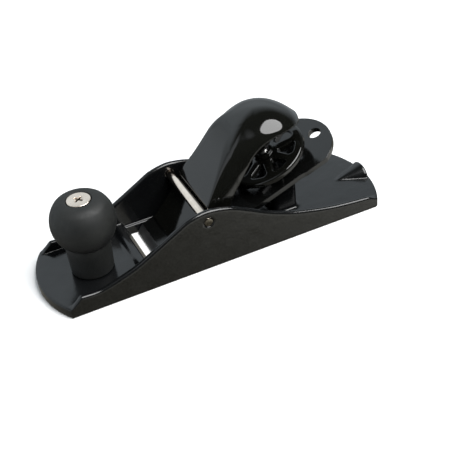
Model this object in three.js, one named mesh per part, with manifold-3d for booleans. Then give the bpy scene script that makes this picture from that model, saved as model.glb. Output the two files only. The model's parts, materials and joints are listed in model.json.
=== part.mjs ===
// Low angle hand plane: an iron body with curved cheeks, a round front knob, and a plane iron that
// is clamped on its bed by a palm shaped lever cap, a cross pin and a spoked cap wheel.
// Units are millimetres. The origin is the centre of the sole's bottom face, +X points to the toe,
// +Y to the right hand cheek and +Z up.
import * as THREE from 'three';
import { mergeVertices } from 'three/addons/utils/BufferGeometryUtils.js';
import Module from 'manifold-3d';

const wasm = await Module();
wasm.setup();

// ---- driving dimensions ----
const GAP = 0.3; // clearance between pieces that touch or slide

const LENGTH = 178; // 7 inch body
const WIDTH = 50.2;
const DECK = 5; // thickness of the sole plate
const CHEEK = 3; // thickness of the side walls
const TOE_RISE = 7.7; // how far the toe arc bulges past its corners
const HEEL_RISE = 6.9;
const EDGE_ROUND = 1.1; // rounding of the cheeks' edges

const BED_ANGLE = THREE.MathUtils.degToRad(20.3); // slope of the plane iron
const BED_X = 34.2; // where the underside of the iron would meet the sole
const MOUTH_X = 35.0; // front lip of the mouth at the sole
const MOUTH_REAR_X = 31.2;
const MOUTH_WIDTH = 41;
const BED_REAR_X = 12; // back end of the short bed behind the mouth

const FENCE_FRONT_X = 44; // cross bar in front of the mouth
const FENCE_TOP_X = [38.9, 41.9];
const FENCE_TOP_Z = 7.3;

const POST_X = [-45, -31.5]; // pedestal that carries the middle of the iron
const POST_WIDTH = 19;
const POST_ROUND = 2.5;

const RIB_TIP_X = -71.3; // raised cone on the heel, its point just below the deck
const RIB_END_X = -87;
const RIB_RADIUS = 6.9;
const RIB_HEIGHT = 5.6;
const RIB_SINK = 0.6; // axis of the cone below the deck

const PIN_X = 9.4; // cross pin through both cheeks
const PIN_Z = 26.5;
const PIN_RADIUS = 2.3;
const PIN_RECESS = 0.25; // how far its ends sit below the cheeks' outer faces

const KNOB_X = 61.9;
const KNOB_BALL_Z = 32.9;
const KNOB_BALL_RADIUS = 15.7;
const KNOB_STEM_RADIUS = 10.4;
const KNOB_NECK_RADIUS = 11;
const KNOB_TOP_Z = 44.9;
const KNOB_CROWN = 2.4; // height over which the ball flattens towards the screw head
const SCREW_RADIUS = 3; // M6 countersunk screw
const SCREW_HEAD_RADIUS = 5.75;
const SCREW_HEAD_TOP_Z = 45.1;
const SCREW_END_Z = 1.9;
const DRIVE_LENGTH = 5; // cross shaped driver recess
const DRIVE_WIDTH = 1;
const DRIVE_DEPTH = 1.8;

const IRON_THICK = 2.65;
const IRON_WIDTH = 39.2;
const IRON_HEAD_WIDTH = 40.6;
const IRON_EDGE_U = 2.9; // cutting edge, measured up the bed from BED_X
const IRON_BEVEL = THREE.MathUtils.degToRad(33);
const IRON_SHOULDER_U = 83; // where the wider head starts
const IRON_SHOULDER_RUN = 2.5;
const IRON_HEAD_RADIUS = 23.1;
const IRON_HEAD_CENTRE_U = 86.2;
const IRON_HOLE_U = 102.4;
const IRON_HOLE_RADIUS = 3.25;

const CAP_WIDTH = 36;
const CAP_WALL = 3;
const CAP_PLATE = 3.4; // thickness of the front plate
const CAP_RAMP = THREE.MathUtils.degToRad(47); // slope of the front plate
const CAP_NOSE = new THREE.Vector2(22.9, 8.1); // top of the pressing edge
const CAP_STEP = new THREE.Vector2(6.6, 29.1); // lip behind the cross pin
const CAP_CENTRE_X = -33; // centre of the round rear end in plan
const CAP_SHOULDER = 11; // how far the flat front face draws in from the sides
const CAP_SHOULDER_RUN = 17; // how far back it takes to do so
const CAP_FLAT_X = [-12, -30]; // where the flat face starts and ends its fade into the dome
const CAP_DOME = [1.15, 1.65]; // width over height of the elliptical shoulders, in front and behind
const CROWN_TOP_X = -30.5; // behind it the hump's height is measured plumb

const WHEEL_CENTRE = new THREE.Vector3(-32.5, 0, 36.9); // centre of the wheel's upper face
const WHEEL_TILT = THREE.MathUtils.degToRad(24);
const WHEEL_RADIUS = 20.7;
const WHEEL_THICK = 3.5;
const WHEEL_WINDOWS = 8;
const WINDOW_RADII = [7.6, 16.4];
const WINDOW_HALF_ANGLE = THREE.MathUtils.degToRad(15);
const HUB_RADIUS = 5;
const HUB_RISE = 1.8; // hub above the upper face
const HUB_DROP = 0.8; // hub below the lower face
const WHEEL_ROUND = 0.6; // rounding of the rim and of the windows
const WINDOW_CORNER = 2.6; // radius of the windows' outer corners
const WINDOW_NECK = 1.2; // radius of their inner ends
const WINDOW_TURN = THREE.MathUtils.degToRad(4.5); // first window, from the wheel's own x axis
const STUD_RADIUS = 3; // M6 stud
const STUD_TOP = 15; // above the wheel's upper face
const BOSS_RADIUS = 6;
const BOSS_BOTTOM = 5; // underside of the threaded boss in the cap, above the wheel's upper face
const BORE_REACH = 18.5; // closed end of the boss's bore, above the wheel's upper face

// ---- materials ----
const paint = (color, roughness) => new THREE.MeshStandardMaterial({ color, roughness, metalness: 0.1 });
const steel = (color, roughness) => new THREE.MeshStandardMaterial({ color, roughness, metalness: 1 });
const enamel = paint(0x2c3034, 0.35);
const ironPaint = paint(0x141518, 0.22);
const capPaint = paint(0x121315, 0.15);
const plastic = new THREE.MeshStandardMaterial({ color: 0x1b1c1d, roughness: 0.6, metalness: 0 });
const zinc = steel(0xcfcdc8, 0.25);
const groundSteel = steel(0xbdbdb9, 0.3);

// ---- helpers ----
function solid(geometry) {
  const bare = geometry.clone();
  bare.deleteAttribute('normal');
  bare.deleteAttribute('uv');
  const merged = mergeVertices(bare, 1e-4);
  const vertProperties = new Float32Array(merged.attributes.position.array);
  const triVerts = new Uint32Array(merged.index.array);
  return new wasm.Manifold(new wasm.Mesh({ numProp: 3, vertProperties, triVerts }));
}

function toGeometry(manifold) {
  const { vertProperties, triVerts } = manifold.getMesh();
  const geometry = new THREE.BufferGeometry();
  geometry.setAttribute('position', new THREE.BufferAttribute(vertProperties, 3));
  geometry.setIndex(new THREE.BufferAttribute(triVerts, 1));
  geometry.computeVertexNormals();
  return geometry;
}

function part(name, geometry, material) {
  const mesh = new THREE.Mesh(geometry, material);
  mesh.name = name;
  return mesh;
}

// A side view outline (X, Z) made into a slab of the given width, centred on Y = 0.
function sideSlab(shape, width, bevel = 0) {
  const options = { depth: width - 2 * bevel, bevelEnabled: bevel > 0, curveSegments: 3 };
  if (bevel > 0) {
    const round = { bevelThickness: bevel, bevelSize: bevel, bevelOffset: -bevel, bevelSegments: 2 };
    Object.assign(options, round);
  }
  const slab = new THREE.ExtrudeGeometry(shape, options);
  slab.translate(0, 0, -options.depth / 2);
  return slab.rotateX(Math.PI / 2);
}

function polygon(...points) {
  return new THREE.Shape(points.map(([x, z]) => new THREE.Vector2(x, z)));
}

function box(xRange, width, zRange) {
  const geometry = new THREE.BoxGeometry(xRange[1] - xRange[0], width, zRange[1] - zRange[0]);
  return geometry.translate((xRange[0] + xRange[1]) / 2, 0, (zRange[0] + zRange[1]) / 2);
}

// Height of a line parallel to the bed, at a distance above the iron's underside.
function bedZ(x, above) {
  return ((BED_X - x) * Math.sin(BED_ANGLE) + above) / Math.cos(BED_ANGLE);
}

// The place along X where such a line passes the height z.
function bedX(z, above) {
  return BED_X - (z * Math.cos(BED_ANGLE) - above) / Math.sin(BED_ANGLE);
}

// A closed solid through a row of rings with equal point counts, anticlockwise seen from the first end.
function loft(rings) {
  const count = rings[0].length;
  const positions = rings.flat().flatMap((p) => [p.x, p.y, p.z]);
  const index = [];
  for (let r = 0; r + 1 < rings.length; r += 1) {
    for (let i = 0; i < count; i += 1) {
      const a = r * count + i;
      const b = r * count + ((i + 1) % count);
      index.push(a, a + count, b, b, a + count, b + count);
    }
  }
  const faces = THREE.ShapeUtils.triangulateShape(rings[0].map((p) => new THREE.Vector2(p.y, p.z)), []);
  const last = (rings.length - 1) * count;
  for (const [a, b, c] of faces) {
    index.push(a, b, c, last + a, last + c, last + b);
  }
  const geometry = new THREE.BufferGeometry();
  geometry.setAttribute('position', new THREE.Float32BufferAttribute(positions, 3));
  geometry.setIndex(index);
  return geometry;
}

// ---- body casting ----
function chordRadius(rise) {
  return ((WIDTH / 2) ** 2 + rise ** 2) / (2 * rise);
}

function planOutline() {
  const toe = chordRadius(TOE_RISE);
  const heel = chordRadius(HEEL_RISE);
  const toeAngle = Math.asin(WIDTH / 2 / toe);
  const heelAngle = Math.asin(WIDTH / 2 / heel);
  const shape = new THREE.Shape();
  shape.absarc(LENGTH / 2 - toe, 0, toe, -toeAngle, toeAngle, false);
  shape.absarc(heel - LENGTH / 2, 0, heel, Math.PI - heelAngle, Math.PI + heelAngle, false);
  return shape;
}

function cheekShape() {
  const heelX = HEEL_RISE + 0.5 - LENGTH / 2;
  const toeX = LENGTH / 2 - TOE_RISE - 0.4;
  const crest = [
    [-77.5, 7.1], [-57, 9.5], [-38, 14], [-28.8, 17.3], [-20.4, 21], [-10.5, 26.4], [-2.7, 30.1],
    [5.4, 32.2], [12, 32.5], [20, 30.6], [27, 26.8], [36.6, 21.4], [47, 15.8], [57, 12.2], [66, 9.8],
    [75.5, 10],
  ];
  const shape = new THREE.Shape();
  shape.moveTo(heelX, DECK / 2);
  shape.lineTo(toeX, DECK / 2);
  shape.lineTo(toeX, DECK - 0.2);
  shape.lineTo(...crest[crest.length - 1]);
  shape.splineThru(crest.slice(0, -1).reverse().map(([x, z]) => new THREE.Vector2(x, z)));
  shape.lineTo(heelX, DECK - 0.2);
  return shape;
}

function heelRib() {
  const length = RIB_TIP_X - RIB_END_X;
  const cone = new THREE.ConeGeometry(RIB_RADIUS, length, 28);
  cone.rotateZ(-Math.PI / 2).translate((RIB_TIP_X + RIB_END_X) / 2, 0, 0);
  const end = new THREE.SphereGeometry(RIB_RADIUS, 28, 12).scale(0.3, 1, 1).translate(RIB_END_X, 0, 0);
  const flatten = new THREE.Matrix4().makeScale(1, 1, RIB_HEIGHT / RIB_RADIUS);
  flatten.setPosition(0, 0, DECK - RIB_SINK);
  return solid(cone.applyMatrix4(flatten)).add(solid(end.applyMatrix4(flatten)));
}

// Pedestal with rounded corners, cut off just under the iron.
function postSolid() {
  const [rear, front] = POST_X;
  const half = POST_WIDTH / 2 - POST_ROUND;
  const top = bedZ(rear, 0) + 5;
  const shape = new THREE.Shape();
  shape.absarc(front - POST_ROUND, half, POST_ROUND, 0, Math.PI / 2, false);
  shape.absarc(rear + POST_ROUND, half, POST_ROUND, Math.PI / 2, Math.PI, false);
  shape.absarc(rear + POST_ROUND, -half, POST_ROUND, Math.PI, 1.5 * Math.PI, false);
  shape.absarc(front - POST_ROUND, -half, POST_ROUND, 1.5 * Math.PI, 2 * Math.PI, false);
  const tall = new THREE.ExtrudeGeometry(shape, { depth: top, bevelEnabled: false, curveSegments: 3 });
  const above = polygon(
    [rear - 1, bedZ(rear - 1, -GAP)], [front + 1, bedZ(front + 1, -GAP)], [front + 1, 2 * top],
    [rear - 1, 2 * top],
  );
  return solid(tall.translate(0, 0, DECK / 2)).subtract(solid(sideSlab(above, POST_WIDTH + 2)));
}

// Cross bar whose slanted rear face is the front of the mouth.
function fenceShape() {
  return polygon(
    [MOUTH_X, 0], [FENCE_FRONT_X, 0], [FENCE_FRONT_X, DECK], [FENCE_TOP_X[1], FENCE_TOP_Z],
    [FENCE_TOP_X[0], FENCE_TOP_Z],
  );
}

// What is cut from the deck: the mouth itself and the sloping bed behind it.
function mouthShape() {
  const front = (MOUTH_X + FENCE_FRONT_X) / 2;
  return polygon(
    [MOUTH_REAR_X, -1], [front, -1], [front, DECK + 1], [bedX(DECK, -GAP), DECK + 1],
    [bedX(DECK, -GAP), DECK], [MOUTH_REAR_X, bedZ(MOUTH_REAR_X, -GAP)],
  );
}

// The part of the bed that stands above the deck.
function bedShape() {
  const front = bedX(DECK, -GAP);
  return polygon(
    [BED_REAR_X, DECK / 2], [front, DECK / 2], [front, DECK], [BED_REAR_X, bedZ(BED_REAR_X, -GAP)],
  );
}

function makeBody() {
  const outline = planOutline();
  const deck = new THREE.ExtrudeGeometry(outline, { depth: DECK, bevelEnabled: false, curveSegments: 14 });
  const tall = new THREE.ExtrudeGeometry(outline, { depth: 30, bevelEnabled: false, curveSegments: 14 });
  let body = solid(deck).subtract(solid(sideSlab(mouthShape(), MOUTH_WIDTH)));
  for (const side of [-1, 1]) {
    const cheek = sideSlab(cheekShape(), CHEEK, EDGE_ROUND).translate(0, (side * (WIDTH - CHEEK)) / 2, 0);
    body = body.add(solid(cheek));
  }
  body = body.add(solid(sideSlab(fenceShape(), WIDTH - CHEEK)));
  body = body.add(solid(sideSlab(bedShape(), MOUTH_WIDTH)));
  body = body.add(postSolid()).add(heelRib().intersect(solid(tall)));

  const pinHole = new THREE.CylinderGeometry(PIN_RADIUS + GAP, PIN_RADIUS + GAP, WIDTH + 2, 24);
  body = body.subtract(solid(pinHole.translate(PIN_X, 0, PIN_Z)));
  const tapped = SCREW_RADIUS + GAP;
  const screwHole = new THREE.CylinderGeometry(tapped, tapped, DECK, 24).rotateX(Math.PI / 2);
  body = body.subtract(solid(screwHole.translate(KNOB_X, 0, SCREW_END_Z - GAP + DECK / 2)));
  return part('body', toGeometry(body), enamel);
}

// ---- front knob and its screw ----
function makeKnob() {
  const neckZ = KNOB_BALL_Z - Math.sqrt(KNOB_BALL_RADIUS ** 2 - KNOB_NECK_RADIUS ** 2);
  const crownZ = KNOB_TOP_Z - KNOB_CROWN;
  const start = Math.asin((neckZ - KNOB_BALL_Z) / KNOB_BALL_RADIUS);
  const end = Math.asin((crownZ - KNOB_BALL_Z) / KNOB_BALL_RADIUS);
  const crownRadius = KNOB_BALL_RADIUS * Math.cos(end);
  const head = SCREW_HEAD_RADIUS + GAP;
  const bore = SCREW_RADIUS + GAP;
  const outline = new THREE.Path();
  outline.moveTo(bore, 0);
  outline.lineTo(KNOB_STEM_RADIUS - 0.4, 0);
  outline.lineTo(KNOB_STEM_RADIUS, 0.4);
  outline.lineTo(KNOB_NECK_RADIUS, neckZ - DECK - GAP);
  outline.absarc(0, KNOB_BALL_Z - DECK - GAP, KNOB_BALL_RADIUS, start, end, false);
  outline.quadraticCurveTo(crownRadius - KNOB_CROWN, KNOB_TOP_Z - DECK - GAP, head, KNOB_TOP_Z - DECK - GAP);
  outline.lineTo(bore, KNOB_TOP_Z - DECK - GAP - (head - bore));
  outline.lineTo(bore, 0);
  const knob = part('front_knob', new THREE.LatheGeometry(outline.getPoints(6), 36), plastic);
  knob.geometry.rotateX(Math.PI / 2);
  knob.position.set(KNOB_X, 0, DECK + GAP);
  return knob;
}

function makeKnobScrew() {
  const length = SCREW_HEAD_TOP_Z - SCREW_END_Z;
  const cone = SCREW_HEAD_RADIUS - SCREW_RADIUS;
  const outline = [
    [0, 0], [SCREW_RADIUS - 0.6, 0], [SCREW_RADIUS, 0.6], [SCREW_RADIUS, length - cone - 0.3],
    [SCREW_HEAD_RADIUS, length - 0.3], [SCREW_HEAD_RADIUS, length], [0, length],
  ].map(([r, z]) => new THREE.Vector2(r, z));
  let screw = solid(new THREE.LatheGeometry(outline, 32).rotateX(Math.PI / 2));
  for (const turn of [0, Math.PI / 2]) {
    const slot = new THREE.BoxGeometry(DRIVE_LENGTH, DRIVE_WIDTH, 2 * DRIVE_DEPTH);
    slot.rotateZ(turn + Math.PI / 5).translate(0, 0, length);
    screw = screw.subtract(solid(slot));
  }
  const mesh = part('knob_screw', toGeometry(screw), zinc);
  mesh.position.set(KNOB_X, 0, SCREW_END_Z);
  return mesh;
}

// ---- cross pin ----
function makePin() {
  const half = WIDTH / 2 - PIN_RECESS;
  const outline = [
    [0, -half], [PIN_RADIUS - 0.4, -half], [PIN_RADIUS, 0.4 - half], [PIN_RADIUS, half - 0.4],
    [PIN_RADIUS - 0.4, half], [0, half],
  ].map(([r, y]) => new THREE.Vector2(r, y));
  const pin = part('cross_pin', new THREE.LatheGeometry(outline, 24), zinc);
  pin.position.set(PIN_X, 0, PIN_Z);
  return pin;
}

// ---- plane iron, drawn flat with its underside on z = 0 and u measured along -x ----
function makeIron() {
  const half = IRON_WIDTH / 2;
  const headHalf = IRON_HEAD_WIDTH / 2;
  const arc = Math.asin(headHalf / IRON_HEAD_RADIUS);
  const shape = new THREE.Shape();
  shape.moveTo(-IRON_EDGE_U, half);
  shape.lineTo(-IRON_SHOULDER_U, half);
  shape.lineTo(-IRON_SHOULDER_U - IRON_SHOULDER_RUN, headHalf);
  shape.absarc(-IRON_HEAD_CENTRE_U, 0, IRON_HEAD_RADIUS, Math.PI - arc, Math.PI + arc, false);
  shape.lineTo(-IRON_SHOULDER_U - IRON_SHOULDER_RUN, -headHalf);
  shape.lineTo(-IRON_SHOULDER_U, -half);
  shape.lineTo(-IRON_EDGE_U, -half);
  const hole = new THREE.Path();
  hole.absarc(-IRON_HOLE_U, 0, IRON_HOLE_RADIUS, 0, 2 * Math.PI, true);
  shape.holes.push(hole);
  const flat = { depth: IRON_THICK, bevelEnabled: false, curveSegments: 14 };
  const blank = new THREE.ExtrudeGeometry(shape, flat);
  const run = IRON_THICK / Math.tan(IRON_BEVEL);
  const waste = polygon(
    [-IRON_EDGE_U + 0.001, 0], [-IRON_EDGE_U + 2, 0], [-IRON_EDGE_U + 2, IRON_THICK + 1],
    [-IRON_EDGE_U - run * (1 + 1 / IRON_THICK), IRON_THICK + 1],
  );
  const ground = solid(blank).subtract(solid(sideSlab(waste, IRON_WIDTH + 2)));
  return part('plane_iron', toGeometry(ground), ironPaint);
}

// ---- lever cap ----
const crown = new THREE.SplineCurve([
  [CAP_STEP.x, CAP_STEP.y], [-0.6, 39.6], [-8, 50.9], [-12.4, 55.8], [-17.6, 59.8], [-23.2, 62.5],
  [-30.5, 63.8], [-38, 62.7], [-44.8, 59.3], [-51, 53.9],
].map(([x, z]) => new THREE.Vector2(x, z)));

// Half width of the hump in plan: straight sides and a round rear end.
function capHalfWidth(x, inset) {
  const radius = CAP_WIDTH / 2 - inset;
  const past = Math.max(CAP_CENTRE_X - x, 0);
  return Math.sqrt(Math.max(radius ** 2 - past ** 2, 1));
}

// Half width of the flat front face, which narrows backwards and fades into the dome.
function flatHalfWidth(x, half) {
  const back = Math.max(CAP_STEP.x - x, 0);
  const drawn = 0.5 + (CAP_SHOULDER - 0.5) * (1 - Math.exp(-((back / CAP_SHOULDER_RUN) ** 1.3)));
  const share = THREE.MathUtils.smoothstep(x, CAP_FLAT_X[1], CAP_FLAT_X[0]);
  return THREE.MathUtils.clamp((half - drawn) * share, 0.05, 0.98 * half);
}

function domeRatio(x) {
  const front = THREE.MathUtils.smoothstep(x, CAP_FLAT_X[1], CAP_FLAT_X[0]);
  return THREE.MathUtils.lerp(CAP_DOME[1], CAP_DOME[0], front);
}

// One section of the hump: a half ellipse whose top is cut flat.
function capRing(t, inset) {
  const point = crown.getPoint(t);
  const tangent = crown.getTangent(t);
  const x = point.x + tangent.y * -inset;
  const z = point.y + tangent.x * inset;
  const half = capHalfWidth(x, inset);
  const flat = flatHalfWidth(point.x, half);
  const level = point.x > CROWN_TOP_X ? Math.max(-tangent.x, 0.5) : 1;
  const rise = half / domeRatio(point.x) / level;
  const top = z + rise * (1 - Math.sqrt(1 - (flat / half) ** 2));
  const steps = 7;
  const right = [new THREE.Vector3(x, half, 10)];
  for (let i = 0; i <= steps; i += 1) {
    const angle = (i / steps) * Math.acos(flat / half);
    right.push(new THREE.Vector3(x, half * Math.cos(angle), top - rise * (1 - Math.sin(angle))));
  }
  const left = right.map((p) => new THREE.Vector3(x, -p.y, p.z)).reverse();
  return right.concat(left);
}

function capHump(from, inset) {
  const stations = 22;
  const rings = [];
  for (let i = 0; i <= stations; i += 1) {
    rings.push(capRing(from + ((1 - from) * i) / stations, inset));
  }
  return solid(loft(rings));
}

// Side view of the front plate: pressing edge, ramp under the cross pin, and lip behind it.
function capPlate() {
  const along = new THREE.Vector2(-Math.cos(CAP_RAMP), Math.sin(CAP_RAMP));
  const normal = new THREE.Vector2(Math.sin(CAP_RAMP), Math.cos(CAP_RAMP));
  const pin = new THREE.Vector2(PIN_X, PIN_Z);
  const pocket = pin.clone().addScaledVector(normal, CAP_NOSE.clone().sub(pin).dot(normal));
  pocket.addScaledVector(along, PIN_RADIUS + 0.5);
  const ramp = (distance, depth) => {
    const point = CAP_NOSE.clone().addScaledVector(along, distance).addScaledVector(normal, -depth);
    return [point.x, point.y];
  };
  const slant = CAP_RAMP - BED_ANGLE;
  const noseHeight = (CAP_NOSE.x - BED_X) * Math.sin(BED_ANGLE) + CAP_NOSE.y * Math.cos(BED_ANGLE);
  const footLength = (IRON_THICK + GAP - noseHeight + CAP_PLATE * Math.cos(slant)) / Math.sin(slant);
  const foot = ramp(footLength, CAP_PLATE);
  const plate = polygon(
    [CAP_NOSE.x, bedZ(CAP_NOSE.x, IRON_THICK + GAP)], [CAP_NOSE.x, CAP_NOSE.y], [pocket.x, pocket.y],
    [CAP_STEP.x, CAP_STEP.y], [CAP_STEP.x - 4, CAP_STEP.y + 4], ramp(33, CAP_PLATE), foot,
  );
  const relief = polygon(ramp(footLength - 8, CAP_PLATE), ramp(33, CAP_PLATE), [-10, 5]);
  return { plate, relief };
}

function makeCap() {
  const { plate, relief } = capPlate();
  const rim = new THREE.Shape();
  rim.moveTo(CAP_NOSE.x + 5, -5);
  rim.lineTo(CAP_NOSE.x + 5, bedZ(CAP_NOSE.x + 5, IRON_THICK + GAP));
  rim.lineTo(-2.8, bedZ(-2.8, IRON_THICK + GAP));
  rim.splineThru([
    [-4.4, 24], [-7.4, 30.5], [-11.7, 37], [-16.9, 44.8], [-20.6, 49.2], [-25.1, 52.4], [-31.1, 54.6],
    [-38, 55.2], [-45, 54], [-52, 51.5],
  ].map(([x, z]) => new THREE.Vector2(x, z)));
  rim.lineTo(-60, 48);
  rim.lineTo(-60, -5);

  const hump = capHump(0, 0);
  const inner = CAP_WIDTH - 2 * CAP_WALL;
  let cap = hump.subtract(capHump(0.13, CAP_WALL)).subtract(solid(sideSlab(relief, inner)));
  cap = cap.add(solid(sideSlab(plate, CAP_WIDTH - 0.6)));
  const slope = new THREE.Matrix4().makeRotationY(WHEEL_TILT).setPosition(WHEEL_CENTRE);
  const boss = new THREE.CylinderGeometry(BOSS_RADIUS, BOSS_RADIUS, 30, 32).rotateX(Math.PI / 2);
  boss.translate(0, 0, BOSS_BOTTOM + 15).applyMatrix4(slope);
  cap = cap.subtract(solid(sideSlab(rim, 60)));
  cap = cap.add(solid(boss).intersect(hump));
  const boreRadius = STUD_RADIUS + GAP;
  const bore = new THREE.CylinderGeometry(boreRadius, boreRadius, BORE_REACH, 24).rotateX(Math.PI / 2);
  cap = cap.subtract(solid(bore.translate(0, 0, BORE_REACH / 2).applyMatrix4(slope)));
  return part('lever_cap', toGeometry(cap), capPaint);
}

// ---- cap wheel and its stud, drawn about the z axis with the upper face on z = 0 ----
function windowPath(turn) {
  const [low, high] = WINDOW_RADII;
  const outer = high - WINDOW_CORNER;
  const inner = low + WINDOW_NECK;
  const spread = WINDOW_HALF_ANGLE - Math.asin(WINDOW_CORNER / outer);
  const [right, left] = [turn - spread, turn + spread];
  const [rightSide, leftSide] = [turn - WINDOW_HALF_ANGLE, turn + WINDOW_HALF_ANGLE];
  const quarter = Math.PI / 2;
  const path = new THREE.Path();
  path.absarc(outer * Math.cos(right), outer * Math.sin(right), WINDOW_CORNER, rightSide - quarter, right);
  path.absarc(outer * Math.cos(left), outer * Math.sin(left), WINDOW_CORNER, left, leftSide + quarter);
  path.absarc(inner * Math.cos(turn), inner * Math.sin(turn), WINDOW_NECK, leftSide + quarter,
    rightSide + 3 * quarter);
  return path;
}

function makeWheel() {
  const shape = new THREE.Shape();
  const step = (2 * Math.PI) / WHEEL_WINDOWS;
  for (let i = 0; i < WHEEL_WINDOWS; i += 1) {
    shape.absarc(0, 0, WHEEL_RADIUS, i * step, (i + 1) * step, false);
    shape.holes.push(windowPath(i * step + WINDOW_TURN));
  }
  const disc = new THREE.ExtrudeGeometry(shape, {
    depth: WHEEL_THICK - 2 * WHEEL_ROUND, bevelThickness: WHEEL_ROUND, bevelSize: WHEEL_ROUND,
    bevelOffset: -WHEEL_ROUND, bevelSegments: 1, curveSegments: 3,
  }).translate(0, 0, WHEEL_ROUND - WHEEL_THICK);
  const hubHeight = HUB_RISE + WHEEL_THICK + HUB_DROP;
  const hub = new THREE.CylinderGeometry(HUB_RADIUS, HUB_RADIUS, hubHeight, 28).rotateX(Math.PI / 2);
  hub.translate(0, 0, hubHeight / 2 - WHEEL_THICK - HUB_DROP);
  const boreRadius = STUD_RADIUS + GAP;
  const bore = new THREE.CylinderGeometry(boreRadius, boreRadius, 20, 24).rotateX(Math.PI / 2);
  const wheel = solid(disc).add(solid(hub)).subtract(solid(bore));
  return part('cap_wheel', toGeometry(wheel), capPaint);
}

function makeStud() {
  const iron = (WHEEL_CENTRE.x - BED_X) * Math.sin(BED_ANGLE) + WHEEL_CENTRE.z * Math.cos(BED_ANGLE);
  const reach = (iron - IRON_THICK) / Math.cos(WHEEL_TILT - BED_ANGLE);
  const tip = 1.6; // radius of the flat pressing tip
  const low = GAP + tip * Math.tan(WHEEL_TILT - BED_ANGLE) - reach;
  const outline = [
    [0, low], [tip, low], [STUD_RADIUS, low + 1.2], [STUD_RADIUS, STUD_TOP - 0.8],
    [STUD_RADIUS - 0.8, STUD_TOP], [0, STUD_TOP],
  ].map(([r, z]) => new THREE.Vector2(r, z));
  return part('wheel_screw', new THREE.LatheGeometry(outline, 24).rotateX(Math.PI / 2), groundSteel);
}

// ---- assembly ----
const plane = new THREE.Group();
plane.add(makeBody(), makeKnob(), makeKnobScrew(), makePin(), makeCap());

const bed = new THREE.Group();
bed.position.x = BED_X;
bed.rotation.y = BED_ANGLE;
bed.add(makeIron());

const wheelAxis = new THREE.Group();
wheelAxis.position.copy(WHEEL_CENTRE);
wheelAxis.rotation.y = WHEEL_TILT;
wheelAxis.add(makeWheel(), makeStud());

plane.add(bed, wheelAxis);

export default plane;
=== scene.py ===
"""Looks of the hand plane: smooth cast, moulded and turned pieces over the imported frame."""
import json
import math

import bmesh
import bpy
import numpy as np
from mathutils import Matrix, Vector


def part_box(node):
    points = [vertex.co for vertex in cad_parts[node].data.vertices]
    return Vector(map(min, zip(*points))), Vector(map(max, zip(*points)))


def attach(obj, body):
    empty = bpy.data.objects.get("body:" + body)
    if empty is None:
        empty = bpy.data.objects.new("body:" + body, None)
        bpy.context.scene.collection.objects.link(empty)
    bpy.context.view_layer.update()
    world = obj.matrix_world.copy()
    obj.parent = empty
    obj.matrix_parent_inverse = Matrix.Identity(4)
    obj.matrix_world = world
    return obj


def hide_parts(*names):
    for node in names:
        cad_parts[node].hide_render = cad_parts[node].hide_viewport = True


MM = 0.001  # lengths below are in millimetres, and meshes are in metres

# ---- camera: place in metres, turns in degrees, lens in millimetres ----
CAMERA_PLACE = (0.13772, 0.37319, 0.30347)
CAMERA_TURN = (52.537, 4.971, 154.534)
LENS = 77.99


def make_camera():
    data = bpy.data.cameras.new("camera")
    data.sensor_width = 36
    data.lens = LENS
    data.clip_start = 0.01
    camera = bpy.data.objects.new("camera", data)
    camera.location = CAMERA_PLACE
    camera.rotation_euler = [math.radians(angle) for angle in CAMERA_TURN]
    bpy.context.scene.collection.objects.link(camera)
    bpy.context.scene.camera = camera


make_camera()
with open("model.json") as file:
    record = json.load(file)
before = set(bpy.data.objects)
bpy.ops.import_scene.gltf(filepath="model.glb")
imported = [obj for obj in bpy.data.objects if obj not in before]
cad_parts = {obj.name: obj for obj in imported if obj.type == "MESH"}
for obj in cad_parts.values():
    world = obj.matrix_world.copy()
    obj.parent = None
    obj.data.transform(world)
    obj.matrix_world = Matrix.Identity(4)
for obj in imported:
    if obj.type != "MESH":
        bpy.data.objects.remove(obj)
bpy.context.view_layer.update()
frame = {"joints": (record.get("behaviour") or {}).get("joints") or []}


def box_mm(node):
    low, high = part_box(node)
    return np.array(low) / MM, np.array(high) / MM


# ---- driving dimensions, from the frame where it has them ----
GAP = 0.3  # between the iron and what it slides on or under
FIT = 0.15  # between a pin or a screw and its bore
joints = {joint["name"]: joint for joint in frame["joints"]}

body_low, body_high = box_mm("body")
HALF_LENGTH = (body_high[0] - body_low[0]) / 2
HALF_WIDTH = (body_high[1] - body_low[1]) / 2
DECK = 5.0
CHEEK = 3.0
CHEEK_ROUND = 1.3
TOE_RISE = 7.7
HEEL_RISE = 6.9
FILLET = 0.4
END_ROUND = 0.5
SOLE_ROUND = 0.35
BLOCK_FILLET = 0.6
ROOT_Z = 2.0  # the raised parts begin inside the sole
CREST = [  # (x, z) along the top edge of the cheeks, with a straight stretch at each end
    (-81.6, 4.8), (-77.5, 7.1), (-57, 9.5), (-38, 14), (-28.8, 17.3), (-20.4, 21), (-10.5, 26.4),
    (-2.7, 30.1), (5.4, 32.2), (12, 32.5), (20, 30.6), (27, 26.8), (36.6, 21.4), (47, 15.8), (57, 12.2),
    (66, 9.8), (75.5, 10), (80.9, 4.8),
]

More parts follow.
